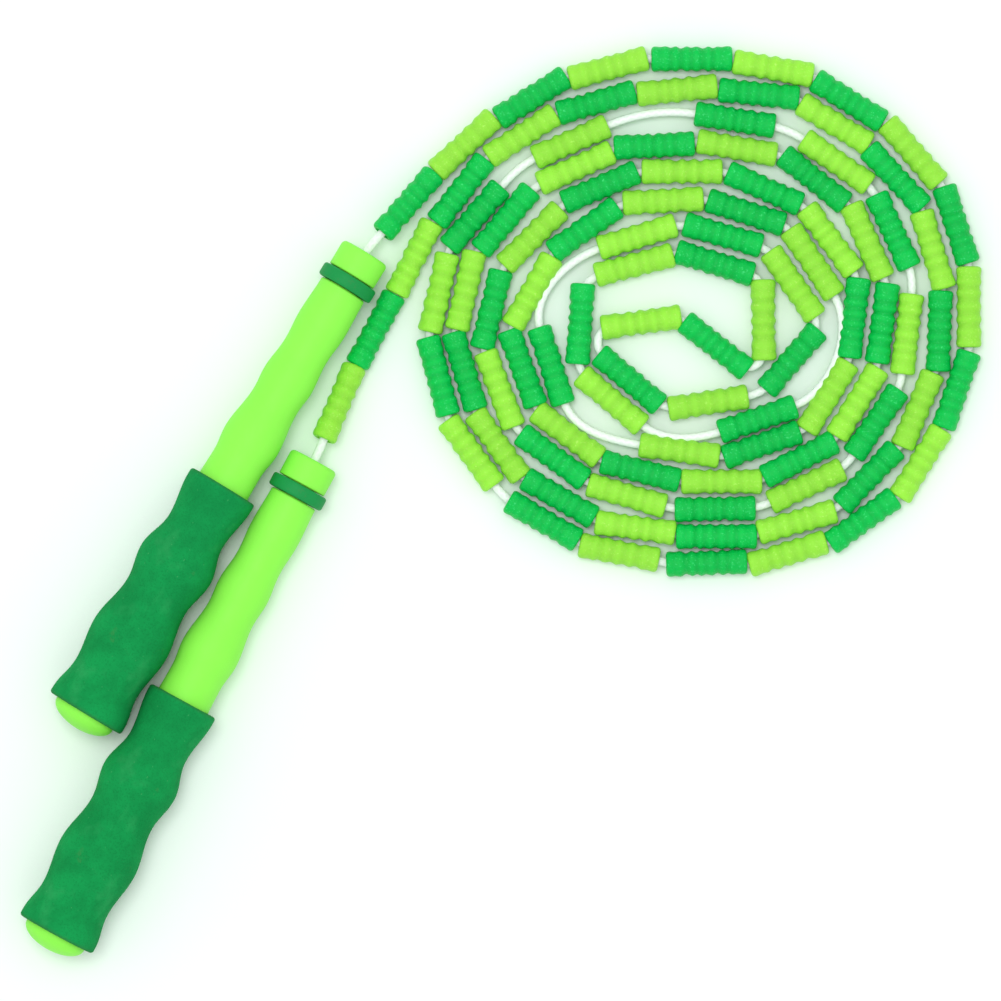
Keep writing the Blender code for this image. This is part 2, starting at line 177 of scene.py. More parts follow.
def wave_radius(behind):
    """The tube's outer radius, flat on each crest and in each valley."""
    place = min(max(behind - TUBE_FRONT, 0.0), FINGER_WAVES[-1][0])
    for (start, first), (end, last) in zip(FINGER_WAVES, FINGER_WAVES[1:]):
        if place <= end:
            share = (place - start) / (end - start)
            return first + (last - first) * (1 - math.cos(math.pi * share)) / 2
    return FINGER_WAVES[-1][1]


def handle_place(side):
    """A handle's own axes in the world: +X out along the cord, the origin on the nose's front."""
    joint = JOINTS[f"handle_{side}_swivel"]
    forward = Vector(joint["axis"]).normalized()
    left = Vector((0.0, 0.0, 1.0)).cross(forward).normalized()
    up = forward.cross(left)
    turn = Matrix((forward, left, up)).transposed().to_4x4()
    return Matrix.Translation(joint["pos_m"]) @ turn


# ---------------------------------------------------------------- where the beads lie
# the middle of each bead in millimetres on the floor and its heading in degrees, from
# each handle inwards
STRAND_A = (
    (62.7, 121.4, 49), (80.0, 139.5, 43), (100.5, 153.8, 32), (123.8, 162.8, 15),
    (149.4, 165.6, 0), (174.3, 162.7, 350), (197.4, 152.8, 328), (217.0, 136.9, 311),
    (230.2, 114.9, 288), (234.1, 89.8, 270), (230.3, 64.4, 251), (219.3, 42.0, 238),
    (201.6, 24.5, 216), (178.7, 14.4, 197), (153.9, 11.5, 182), (127.2, 14.7, 169),
    (104.0, 24.4, 150), (81.9, 45.2, 126), (71.8, 68.6, 105), (72.0, 94.1, 77),
    (83.0, 117.3, 49), (112.4, 140.3, 24), (162.6, 147.0, 351), (193.6, 134.1, 325),
    (210.9, 113.0, 295), (215.2, 81.5, 263), (205.7, 54.4, 235), (184.4, 35.1, 205),
    (156.5, 28.0, 181), (129.5, 32.2, 164), (106.9, 43.9, 144), (90.6, 64.6, 111),
    (88.1, 89.0, 76), (100.6, 111.1, 45), (121.4, 126.4, 23), (146.4, 131.2, 0),
    (171.5, 126.0, 336), (191.7, 110.3, 307), (199.0, 86.4, 263), (190.9, 62.4, 238),
    (170.8, 47.7, 199), (145.6, 45.9, 172), (106.4, 71.8, 108), (132.7, 111.3, 17),
    (158.9, 111.8, 344), (180.3, 96.8, 305), (180.0, 73.6, 229), (154.4, 60.5, 189),
    (130.3, 67.5, 140), (133.9, 85.1, 8), (156.7, 77.9, 322),
)
STRAND_B = (
    (41.6, 60.5, 67), (52.7, 82.8, 62), (64.5, 104.8, 63), (78.8, 125.3, 52),
    (97.4, 142.2, 33), (120.2, 152.3, 16), (144.9, 156.1, 6), (169.9, 154.9, 354),
    (193.1, 145.8, 329), (211.7, 129.3, 313), (223.1, 107.2, 287), (225.1, 82.4, 268),
    (218.4, 58.3, 247), (203.5, 37.8, 226), (181.5, 24.1, 196), (156.9, 19.6, 180),
    (132.1, 22.3, 172), (108.9, 31.4, 150), (90.1, 47.5, 126), (79.9, 70.2, 107),
    (80.3, 94.8, 77), (92.5, 116.4, 50), (113.9, 132.3, 24), (137.9, 139.1, 3),
    (163.2, 138.4, 350), (186.8, 128.8, 322), (203.0, 109.9, 294), (207.7, 84.8, 262),
    (200.0, 60.6, 238), (182.3, 43.2, 207), (158.5, 36.4, 180), (133.7, 39.6, 166),
    (111.4, 50.8, 143), (97.6, 71.1, 110), (100.6, 94.5, 60), (116.6, 113.5, 35),
    (140.6, 122.2, 3), (165.9, 118.7, 342), (186.3, 103.5, 304), (169.5, 55.5, 199),
    (124.8, 61.2, 140), (115.3, 84.6, 86), (131.8, 102.6, 15), (156.4, 103.2, 343),
    (171.3, 85.8, 271),
)
# how far the first bead beside a handle falls over its length, and how high it starts
LEAD_FALL = 3.6 * MM
LEAD_LIFT = 0.3 * MM
# the cord's points lie this far apart, and are eased this often, so that it bends
# gently where it leaves a bead
CORD_STEP = 1.0 * MM
CORD_EASE = 24
# how far the cord runs straight out of a nose
CORD_EXIT = 2.0 * MM


def bead_matrix(place, fall, rope):
    """Where a bead is, with its own +X along it towards the coil."""
    x, y, heading = place
    slope = math.asin(fall / rope.bead_length)
    lift = LEAD_LIFT if fall else 0.0
    height = (rope.bead_diameter + fall) / 2 + lift
    turn = Matrix.Rotation(math.radians(heading), 4, "Z") @ Matrix.Rotation(slope, 4, "Y")
    return Matrix.Translation((x * MM, y * MM, height)) @ turn


def strand_places(strand, rope):
    """The matrices of one strand's beads, from its handle inwards."""
    return [bead_matrix(place, 0.0 if i else LEAD_FALL, rope) for i, place in enumerate(strand)]


def bridge(start, leaving, end, arriving):
    """Points on a smooth curve from one bead to the next, without its last point."""
    reach = (end - start).length
    count = max(2, round(reach / CORD_STEP))
    points = []
    for i in range(count):
        t = i / count
        points.append(
            start * (2 * t**3 - 3 * t**2 + 1)
            + leaving * reach * (t**3 - 2 * t**2 + t)
            + end * (3 * t**2 - 2 * t**3)
            + arriving * reach * (t**3 - t**2)
        )
    return points


def rope_path(rope):
    """The cord's middle line from the knot in handle a, through every bead, to the knot in b."""
    half = Vector((rope.bead_length / 2, 0.0, 0.0))
    ways = []
    for matrix in strand_places(STRAND_A, rope):
        ways.append((matrix @ -half, matrix @ half))
    for matrix in reversed(strand_places(STRAND_B, rope)):
        ways.append((matrix @ half, matrix @ -half))
    inside = Vector((-KNOT_FRONT, 0.0, 0.0))
    outside = Vector((CORD_EXIT, 0.0, 0.0))
    first, last = handle_place("a"), handle_place("b")
    ways.insert(0, (first @ inside, first @ outside))
    ways.append((last @ outside, last @ inside))
    aims = [(end - start).normalized() for start, end in ways]
    points = []
    for i, (start, end) in enumerate(ways):
        points += bridge(start, aims[i], end, aims[i])
        if i + 1 < len(ways):
            points += bridge(end, aims[i], ways[i + 1][0], aims[i + 1])
    points.append(ways[-1][1])
    for _ in range(CORD_EASE):
        eased = [(a + 2 * b + c) / 4 for a, b, c in zip(points, points[1:], points[2:])]
        points = [points[0], *eased, points[-1]]
    return points


# ---------------------------------------------------------------- shader tools
class Reading:
    """A number or colour that comes out of a node, usable in sums."""

    def __init__(self, finish, socket):
        self.finish = finish
        self.socket = socket

    def maths(self, operation, first, second):
        """A Math node's result."""
        made = self.finish.node("ShaderNodeMath", {"operation": operation}, {0: first, 1: second})
        return Reading(self.finish, made.outputs[0])

    def __add__(self, other):
        return self.maths("ADD", self, other)

    __radd__ = __add__

    def __mul__(self, other):
        return self.maths("MULTIPLY", self, other)

    __rmul__ = __mul__

    def __sub__(self, other):
        return self.maths("SUBTRACT", self, other)

    def __rsub__(self, other):
        return self.maths("SUBTRACT", other, self)

    def sine(self):
        """The sine of the reading."""
        return self.maths("SINE", self, 0.0)

    def at_least(self, other):
        """The larger of the two."""
        return self.maths("MAXIMUM", self, other)


class Finish:
    """A Principled material and the nodes that vary it over a surface."""

    def __init__(self, name, constants):
        self.material = bpy.data.materials.new(name)
        self.material.use_nodes = True
        self.tree = self.material.node_tree
        self.shader = self.tree.nodes["Principled BSDF"]
        for socket, value in constants.items():
            self.shader.inputs[socket].default_value = value

    def node(self, kind, settings, values):
        """A node with its settings, and values or readings on its sockets."""
        made = self.tree.nodes.new(kind)
        for name, value in settings.items():
            setattr(made, name, value)
        for socket, value in values.items():
            if isinstance(value, Reading):
                self.tree.links.new(value.socket, made.inputs[socket])
            else:
                made.inputs[socket].default_value = value
        return made

    def reading(self, kind, settings, values, output=0):
        """One output of a new node."""
        return Reading(self, self.node(kind, settings, values).outputs[output])

    def where(self, output="Object"):
        """Texture coordinates."""
        return self.reading("ShaderNodeTexCoord", {}, {}, output)

    def cloud(self, scale, detail=3.0, roughness=0.55):
        """Soft noise from 0 to 1, with so many lumps a metre."""
        return self.reading(
            "ShaderNodeTexNoise",
            {"noise_dimensions": "3D"},
            {"Vector": self.where(), "Scale": scale, "Detail": detail, "Roughness": roughness},
        )

    def cells(self, scale):
        """Distance to the nearest of scattered points, with so many a metre."""
        return self.reading(
            "ShaderNodeTexVoronoi",
            {"feature": "F1"},
            {"Vector": self.where(), "Scale": scale},
            "Distance",
        )

    def step(self, value, low, high):
        """0 below low, 1 above high, and smooth between them."""
        return self.reading(
            "ShaderNodeMapRange",
            {"interpolation_type": "SMOOTHSTEP"},
            {"Value": value, "From Min": low, "From Max": high},
        )

    def mix(self, share, first, second):
        """A colour between two colours."""
        made = self.node("ShaderNodeMix", {"data_type": "RGBA"}, {0: share})
        for index, value in ((6, first), (7, second)):
            if isinstance(value, Reading):
                self.tree.links.new(value.socket, made.inputs[index])
            else:
                made.inputs[index].default_value = (*value, 1.0)
        return Reading(self, made.outputs[2])

    def bump(self, height, distance, strength):
        """A bumpy surface, so many metres deep."""
        bumpy = self.reading(
            "ShaderNodeBump",
            {},
            {"Height": height, "Distance": distance, "Strength": strength},
            "Normal",
        )
        self.feed("Normal", bumpy)

    def feed(self, socket, value):
        """Joins a reading to one of the shader's sockets."""
        self.tree.links.new(value.socket, self.shader.inputs[socket])


def shade(tone, factor):
    """A colour made lighter or darker."""
    return tuple(min(1.0, channel * factor) for channel in tone)


def along_piece(finish):
    """The distance along the piece's own X axis, in metres."""
    return finish.reading("ShaderNodeSeparateXYZ", {}, {0: finish.where()}, "X")


# ---------------------------------------------------------------- finishes
# tones that don't follow from a setting
SCUFFED_LIME = (0.20, 0.55, 0.10)
FOAM_RUBBED = (0.075, 0.19, 0.055)
FOAM_PALE = (0.035, 0.36, 0.11)
FOAM_DUST = (0.10, 0.45, 0.17)
FOAM_RIM = (0.030, 0.14, 0.035)
COLLAR_WORN = (0.06, 0.20, 0.06)
BRAID_HOLLOW_SHADE = (0.50, 0.72, 0.55)
ZINC_BRIGHT = (0.70, 0.71, 0.72)
ZINC_DULL = (0.48, 0.49, 0.50)
# the tones of the painted highlights on a bead, and how dark the painted shade between its ribs
# (and its cloudy mottling) is beside the rest
BEAD_PAINTED_HIGHLIGHTS = {"lime": (0.62, 1.0, 0.22), "green": (0.10, 0.92, 0.32)}
BEAD_GROOVES = {"lime": 0.72, "green": 0.62}
BRAID_PITCH = 2.6 * MM
BRAID_STRANDS = 3


def moulded_lime(handles):
    """Satin moulded plastic of the tubes and caps."""
    finish = Finish(
        "moulded_lime",
        {
            "Specular IOR Level": 0.16,
            "Subsurface Weight": 0.10,
            "Subsurface Radius": (0.001, 0.003, 0.0005),
            "Subsurface Scale": 0.6,
        },
    )
    cloudy = finish.cloud(45.0, 4.0)
    grain = finish.cloud(2200.0, 2.0)
    tone = finish.mix(cloudy, shade(handles.lime, 1.05), shade(handles.lime, 0.93))
    scuffs = finish.step(finish.cloud(170.0, 5.0, 0.7), 0.66, 0.78)
    tone = finish.mix(scuffs * 0.22, tone, SCUFFED_LIME)
    finish.feed("Base Color", tone)
    finish.feed("Roughness", 0.40 + 0.12 * cloudy + 0.10 * grain + 0.12 * scuffs)
    finish.bump(grain + 0.5 * finish.cloud(600.0, 2.0), 0.00005, 0.7)
    return finish.material


def pitted_foam(handles, front, back):
    """Matt closed-cell foam, darker along its rims, duller where it is rubbed, and painted in
    shade inside its pits.
    """
    finish = Finish("pitted_foam", {"Specular IOR Level": 0.08})
    pits = finish.step(finish.cells(1500.0), 0.05, 0.55)
    fine = finish.cloud(3600.0, 2.0)
    mottle = finish.cloud(85.0, 5.0, 0.62)
    light, dark = shade(handles.foam, 1.16), shade(handles.foam, 0.86)
    tone = finish.mix(finish.step(mottle, 0.3, 0.7), light, dark)
    # painted shade: the foam is darker inside each pit
    tone = finish.mix((1 - pits) * 0.34, tone, shade(handles.foam, 0.60))
    rubbed = finish.step(finish.cloud(52.0, 6.0, 0.72), 0.60, 0.70)
    tone = finish.mix(rubbed * 0.38, tone, FOAM_RUBBED)
    pale = finish.step(finish.cloud(70.0, 3.0, 0.6), 0.56, 0.72)
    tone = finish.mix(pale * 0.35, tone, FOAM_PALE)
    dust = finish.step(finish.cloud(900.0, 1.0), 0.74, 0.82)
    tone = finish.mix(dust * 0.35, tone, FOAM_DUST)
    along = along_piece(finish)
    near_front = finish.step(along, -front - 1.2 * MM, -front + 0.2 * MM)
    near_back = 1 - finish.step(along, -back - 0.2 * MM, -back + 1.4 * MM)
    rim = near_front.at_least(near_back)
    tone = finish.mix(rim * 0.55, tone, FOAM_RIM)
    finish.feed("Base Color", tone)
    finish.feed("Roughness", 0.78 + 0.16 * mottle)
    finish.bump(pits * 0.7 + fine * 0.5 + mottle * 0.4, 0.00012, 0.8)
    return finish.material


def collar_plastic(handles):
    """Darker plastic of the ring behind the nose, dulled along its edges."""
    finish = Finish("collar_plastic", {"Specular IOR Level": 0.15})
    cloudy = finish.cloud(120.0, 4.0)
    grain = finish.cloud(2600.0, 2.0)
    tone = finish.mix(cloudy, shade(handles.collar, 1.15), shade(handles.collar, 0.85))
    worn = finish.step(finish.cloud(420.0, 4.0), 0.60, 0.70)
    tone = finish.mix(worn * 0.3, tone, COLLAR_WORN)
    finish.feed("Base Color", tone)
    finish.feed("Roughness", 0.46 + 0.14 * cloudy + 0.08 * grain)
    finish.bump(grain, 0.00005, 0.6)
    return finish.material


def bead_plastic(name, base, deep, highlight_tone):
    """Soft, slightly see-through plastic, with a tone for each bead, painted shade between its
    ribs and in its bore, and painted highlights in light specks.
    """
    finish = Finish(
        name,
        {
            "Specular IOR Level": 0.16,
            "Subsurface Weight": 0.15,
            "Subsurface Radius": (0.0008, 0.002, 0.0006),
            "Subsurface Scale": 0.7,
        },
    )
    own_tone = finish.reading("ShaderNodeAttribute", {"attribute_name": "tone"}, {}, "Fac")
    groove_shade = finish.reading("ShaderNodeAttribute", {"attribute_name": "groove_shade"}, {}, "Fac")
    cloudy = finish.cloud(260.0, 4.0)
    grain = finish.cloud(1500.0, 3.0, 0.65)
    tone = finish.mix(own_tone, shade(base, 0.94), shade(base, 1.05))
    tone = finish.mix(cloudy * 0.25, tone, deep)
    # painted shade: the colour is darkened between the ribs and inside the bore
    tone = finish.mix(groove_shade * 0.34, tone, deep)
    # painted highlights: lighter specks mixed into the colour, fewer between the ribs
    painted_highlights = finish.step(grain, 0.57, 0.70) * (1 - groove_shade * 0.6)
    tone = finish.mix(painted_highlights * 0.5, tone, highlight_tone)
    finish.feed("Base Color", tone)
    finish.feed("Roughness", 0.30 + 0.16 * cloudy - 0.12 * painted_highlights)
    finish.bump(grain + finish.cloud(620.0, 2.0), 0.00030, 0.9)
    return finish.material


def braided_cord(rope):
    """White braid: strands that cross each other round the cord, with painted shade in the hollows
    between them.
    """
    finish = Finish("braided_cord", {"Sheen Weight": 0.2, "Sheen Roughness": 0.5})
    split = finish.node("ShaderNodeSeparateXYZ", {}, {0: finish.where("UV")})
    along, round_about = Reading(finish, split.outputs[0]), Reading(finish, split.outputs[1])
    length_turns = along * (2 * math.pi / BRAID_PITCH)
    side_turns = 2 * math.pi * BRAID_STRANDS
    right = (length_turns + round_about * side_turns).sine()
    left = (length_turns - round_about * side_turns).sine()
    strands = right.at_least(left)
    fibres = finish.cloud(5200.0, 2.0)
    # painted shade: a darker grey-green where the strands dip between each other
    shaded_hollows = 1 - finish.step(strands, 0.0, 0.8)
    tone = finish.mix(finish.cloud(300.0, 3.0), rope.cord, shade(rope.cord, 0.93))
    tone = finish.mix(shaded_hollows * 0.14, tone, BRAID_HOLLOW_SHADE)
    finish.feed("Base Color", tone)
    finish.feed("Roughness", 0.72 + 0.15 * fibres)
    finish.bump(strands * 0.8 + fibres * 0.25, 0.0001, 0.7)
    return finish.material


def knotted_cord(rope):
    """The same cord, tied tight: coarse crossing strands, with painted shade between them."""
    finish = Finish("knotted_cord", {"Sheen Weight": 0.2, "Sheen Roughness": 0.5})
    strands = finish.cells(420.0)
    fibres = finish.cloud(5200.0, 2.0)
    # painted shade: the cord is darker where the bump sinks between the strands
    tone = finish.mix(finish.step(strands, 0.2, 0.8), rope.cord, shade(rope.cord, 0.6))
    finish.feed("Base Color", tone)
    finish.feed("Roughness", 0.72 + 0.15 * fibres)
    finish.bump(fibres * 0.4 - strands, 0.0004, 0.9)
    return finish.material


def zinc():
    """Zinc-plated washer with faint turning marks."""
    finish = Finish("zinc", {"Metallic": 1.0})
    cloudy = finish.cloud(500.0, 4.0)
    tone = finish.mix(cloudy, ZINC_BRIGHT, ZINC_DULL)
    finish.feed("Base Color", tone)
    finish.feed("Roughness", 0.26 + 0.22 * cloudy)
    finish.bump(finish.cloud(3000.0, 2.0), 0.00003, 0.6)
    return finish.material


def floor_finish(stage):
    """A plain pale surface."""
    finish = Finish("plain_floor", {"Specular IOR Level": 0.15})
    cloudy = finish.cloud(6.0, 3.0)
    finish.feed("Base Color", finish.mix(cloudy, stage.floor, shade(stage.floor, 0.985)))
    finish.feed("Roughness", 0.75 + 0.15 * cloudy)
    return finish.material


# ---------------------------------------------------------------- mesh tools
def add_piece(name, bm, material, body, place=None, replaces=(), sharp=38.0):
    """Turns a bmesh into a shown piece that moves with a body."""
    bmesh.ops.recalc_face_normals(bm, faces=bm.faces)
    mesh = bpy.data.meshes.new(name)
    bm.to_mesh(mesh)
    bm.free()
    mesh.materials.append(material)
    mesh.shade_smooth()
    mesh.set_sharp_from_angle(angle=math.radians(sharp))
    made = bpy.data.objects.new(name, mesh)
    bpy.context.scene.collection.objects.link(made)
    if place is not None:
        made.matrix_world = place
    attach(made, body)
    if replaces:
        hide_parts(*replaces)
    return made


def close_rings(bm, rings, closed):
    """Joins rings of vertices; a ring of one vertex is a pole."""
    pairs = list(zip(rings, rings[1:]))
    if closed:
        pairs.append((rings[-1], rings[0]))
    for near, far in pairs:
        count = max(len(near), len(far))
        for i in range(count):
            j = (i + 1) % count
            nearer = (near[i % len(near)], near[j % len(near)])
            farther = (far[j % len(far)], far[i % len(far)])
            # a pole gives the same corner twice, which is kept once
            bm.faces.new(tuple(dict.fromkeys(nearer + farther)))


def turn_outline(outline, sides, wobble=0.0, seed=0.0):
    """A turned body from (distance behind, radius), with a little unevenness."""
    bm = bmesh.new()
    rings = []
    for behind, radius in outline:
        if radius == 0.0:
            rings.append([bm.verts.new((-behind, 0.0, 0.0))])
            continue
        ring = []
        for i in range(sides):
            angle = 2 * math.pi * i / sides
            spot = Vector((behind * 60.0 + seed, 1.6 * math.cos(angle), 1.6 * math.sin(angle)))
            reach = radius - wobble * (0.5 + 0.5 * noise.noise(spot))
            ring.append(bm.verts.new((-behind, reach * math.cos(angle), reach * math.sin(angle))))
        rings.append(ring)
    close_rings(bm, rings, len(rings[0]) > 1)
    return bm


def rounded(centre, radius, start, end, steps=5):
    """Points of an arc in an outline, angles in degrees from straight ahead."""
    points = []
    for i in range(steps + 1):
        angle = math.radians(start + (end - start) * i / steps)
        points.append((centre[0] - radius * math.cos(angle), centre[1] + radius * math.sin(angle)))
    return points


def stretch(front, back, step=0.9 * MM):
    """Evenly spaced distances from front to back."""
    count = max(1, round((back - front) / step))
    return [front + (back - front) * i / count for i in range(count + 1)]


# ---------------------------------------------------------------- beads
RIBS = {"lime": 6, "green": 7}
RIB_STEPS = 6
BEAD_SIDES = 28
BEAD_DENT = 0.22 * MM
END_ROUND = 1.1 * MM
END_STEPS = 5
# the mouth of a bead's bore, which is a little wider than the bore
MOUTH_DEPTH = 1.2 * MM
MOUTH_FLARE = 0.1 * MM
# the second strand's beads are numbered from here, so that no two beads are alike
STRAND_B_FIRST = 60


def bead_outline(rope, ribs, number):
    """One bead's outline with ribs and rounded ends: (along, radius, how deep between two ribs,
    which sets its painted shade).
    """
    half = rope.bead_length / 2
    outer = rope.bead_diameter / 2
    bore = rope.bead_bore / 2
    ends = []
    for i in range(END_STEPS + 1):
        angle = math.radians(90.0 * i / END_STEPS)
        inset = END_ROUND * (1 - math.sin(angle))
        ends.append((inset, outer - END_ROUND * (1 - math.cos(angle))))
    points = [(-half + inset, radius, 0.0) for inset, radius in reversed(ends)]
    start, end = -half + END_ROUND, half - END_ROUND
    count = ribs * RIB_STEPS
    for i in range(1, count):
        share = i / count
        drift = 0.22 * noise.noise(Vector((share * 5.0, number * 3.7, 0.0)))
        deep = 0.5 - 0.5 * math.cos(2 * math.pi * ribs * (share + drift / ribs))
        strength = 0.85 + 0.5 * noise.noise(Vector((share * 7.0, number * 2.3, 9.0)))
        fade = min(1.0, 5 * share, 5 * (1 - share))
        radius = outer - rope.rib_depth * deep * strength * fade
        points.append((start + (end - start) * share, radius, deep * fade))
    points += [(half - inset, radius, 0.0) for inset, radius in ends]
    points += [(half, bore, 1.0), (half - MOUTH_DEPTH, bore - MOUTH_FLARE, 1.0)]
    points += [(-half + MOUTH_DEPTH, bore - MOUTH_FLARE, 1.0), (-half, bore, 1.0)]
    return points


def add_bead(bm, matrix, rope, ribs, number, layers):
    """Adds one bead to a mesh, each a little different."""
    tone, groove_shade = layers
    spin = number * 1.7
    own_tone = 0.5 + 0.5 * math.sin(number * 5.3)
    rings = []
    for along, radius, deep in bead_outline(rope, ribs, number):
        outside = radius * 2 > rope.bead_bore + MM
        ring = []
        for i in range(BEAD_SIDES):
            angle = 2 * math.pi * i / BEAD_SIDES + spin
            across, up = math.cos(angle), math.sin(angle)
            spot = Vector((along * 420.0 + number * 7.1, 1.7 * across, 1.7 * up))
            dent = BEAD_DENT * (0.5 + 0.5 * noise.noise(spot)) if outside else 0.0
            reach = radius - dent
            vertex = bm.verts.new(matrix @ Vector((along, reach * across, reach * up)))
            vertex[tone] = own_tone
            vertex[groove_shade] = deep
            ring.append(vertex)
        rings.append(ring)
    close_rings(bm, rings, True)


def cord_mesh(path, diameter, sides=12):
    """A tube round a path, with a texture map of length along it and turn about it."""
    bm = bmesh.new()
    maps = bm.loops.layers.uv.new("UVMap")
    rings = []
    travelled = [0.0]
    for before, after in zip(path, path[1:]):
        travelled.append(travelled[-1] + (after - before).length)
    for i, point in enumerate(path):
        ahead = (path[min(i + 1, len(path) - 1)] - path[max(i - 1, 0)]).normalized()
        aside = Vector((0.0, 0.0, 1.0)).cross(ahead).normalized()
        above = ahead.cross(aside)
        ring = []
        for j in range(sides):
            angle = 2 * math.pi * j / sides
            outwards = aside * math.cos(angle) + above * math.sin(angle)
            ring.append(bm.verts.new(point + outwards * diameter / 2))
        rings.append(ring)
    for i, (near, far) in enumerate(zip(rings, rings[1:])):
        for j in range(sides):
            k = (j + 1) % sides
            face = bm.faces.new((near[j], near[k], far[k], far[j]))
            corners = ((i, j), (i, j + 1), (i + 1, j + 1), (i + 1, j))
            for loop, (ring, side) in zip(face.loops, corners):
                loop[maps].uv = (travelled[ring], side / sides)
    bm.faces.new(rings[0][::-1])
    bm.faces.new(rings[-1])
    return bm, travelled[-1]


# ---------------------------------------------------------------- stage
# the camera looks straight down from this far above the rope
CAMERA_HEIGHT = 3.0
SENSOR_WIDTH = 36.0
VIEW_WIDTH = 0.3061
VIEW_MIDDLE = (0.0909, 0.0306, 0.004)
FLOOR_REACH = 9.0
FLOOR_LEVEL = -0.0001
LAMP_SIZE = 1.3
LAMP_PLACE = Vector((-0.25, 0.45, 3.4))
LAMP_AIM = Vector((0.1, 0.03, 0.0))


# ---------------------------------------------------------------- operators
class JUMPROPE_OT_stage(bpy.types.Operator):
    """The camera straight above, the pale floor and the soft light"""

    bl_idname = "jumprope.stage"
    bl_label = "Stage"

    def execute(self, context):
        scene = context.scene
        stage = scene.jump_rope_stage
        data = bpy.data.cameras.new("camera")
        data.sensor_width = SENSOR_WIDTH
        data.lens = SENSOR_WIDTH * CAMERA_HEIGHT / VIEW_WIDTH
        data.clip_start, data.clip_end = 0.1, 50.0
        camera = bpy.data.objects.new("camera", data)
        x, y, z = VIEW_MIDDLE
        camera.location = (x, y, z + CAMERA_HEIGHT)
        scene.collection.objects.link(camera)
        scene.camera = camera

        bm = bmesh.new()
        bmesh.ops.create_grid(bm, x_segments=4, y_segments=4, size=FLOOR_REACH)
        mesh = bpy.data.meshes.new("floor")
        bm.to_mesh(mesh)
        bm.free()
        mesh.materials.append(floor_finish(stage))
        floor = bpy.data.objects.new("floor", mesh)
        floor.location = (0.0, 0.0, FLOOR_LEVEL)
        scene.collection.objects.link(floor)

        lamp = bpy.data.lights.new("soft_lamp", "AREA")
        lamp.shape = "SQUARE"
        lamp.size = LAMP_SIZE
        lamp.energy = stage.lamp
        lamp_object = bpy.data.objects.new("soft_lamp", lamp)
        lamp_object.location = LAMP_PLACE
        lamp_object.rotation_euler = (LAMP_AIM - LAMP_PLACE).to_track_quat("-Z", "Y").to_euler()
        scene.collection.objects.link(lamp_object)

        world = bpy.data.worlds.new("studio")
        world.use_nodes = True
        sky = world.node_tree.nodes["Background"]
        sky.inputs["Color"].default_value = (1.0, 1.0, 1.0, 1.0)
        sky.inputs["Strength"].default_value = stage.sky
        scene.world = world
        scene.view_settings.view_transform = "Standard"
        return {"FINISHED"}


class JUMPROPE_OT_rope(bpy.types.Operator):
    """The cord from knot to knot, and the beads on it"""

    bl_idname = "jumprope.rope"
    bl_label = "Cord and beads"

    def execute(self, context):
        rope = context.scene.jump_rope_rope
        path = rope_path(rope)
        bm, whole = cord_mesh(path, rope.cord_diameter)
        cord = add_piece(
            "braided_cord",
            bm,
            braided_cord(rope),
            "rope",
            replaces=("cord_lead_a", "cord_lead_b", "cord_middle"),
        )
        finishes = {}
        for name, tone in (("lime", rope.lime), ("green", rope.green)):
            # a darker copy of the bead's colour, for its cloudy mottling and for the painted shade
            # between its ribs
            deep = shade(tone, BEAD_GROOVES[name])
            finishes[name] = bead_plastic(f"{name}_bead", tone, deep, BEAD_PAINTED_HIGHLIGHTS[name])
        stands_for = {
            ("a", "green"): ("bead_lead_a1", "bead_middle_right", "rope_coil"),
            ("a", "lime"): ("bead_middle_left", "rope_coil"),
            ("b", "green"): ("bead_lead_b2", "rope_coil"),
            ("b", "lime"): ("bead_lead_b1", "rope_coil"),
        }
        strands = {"a": STRAND_A, "b": STRAND_B}
        for (side, name), nodes in stands_for.items():
            bm = bmesh.new()
            layers = (bm.verts.layers.float.new("tone"), bm.verts.layers.float.new("groove_shade"))
            places = strand_places(strands[side], rope)
            # strand a starts with a green bead and strand b with a lime one
            first = 0 if (side == "a") == (name == "green") else 1
            numbered_from = STRAND_B_FIRST if side == "b" else 0
            for i in range(first, len(places), 2):
                add_bead(bm, places[i], rope, RIBS[name], i + numbered_from, layers)
            add_piece(
                    f"{name}_beads_{side}",
                    bm,
                    finishes[name],
                    "rope",
                    replaces=nodes,
                )
        return {"FINISHED"}


class JUMPROPE_OT_tubes(bpy.types.Operator):
    """The lime tubes with their finger waves"""

    bl_idname = "jumprope.tubes"
    bl_label = "Handle tubes"

    def execute(self, context):
        handles = context.scene.jump_rope_handles
        material = moulded_lime(handles)
        for side in SIDES:
            outline = [(TUBE_FRONT, TUBE_BORE), (TUBE_FRONT, wave_radius(TUBE_FRONT) - TUBE_EDGE)]
            places = stretch(TUBE_FRONT + TUBE_EDGE, TUBE_BACK)
            outline += [(place, wave_radius(place)) for place in places]
            outline.append((TUBE_BACK, TUBE_BORE))
            bm = turn_outline(outline, TURNED_SIDES)
            add_piece(
                f"lime_tube_{side}",
                bm,
                material,
                f"handle_{side}",
                handle_place(side),
                (f"handle_tube_{side}",),
            )
        return {"FINISHED"}


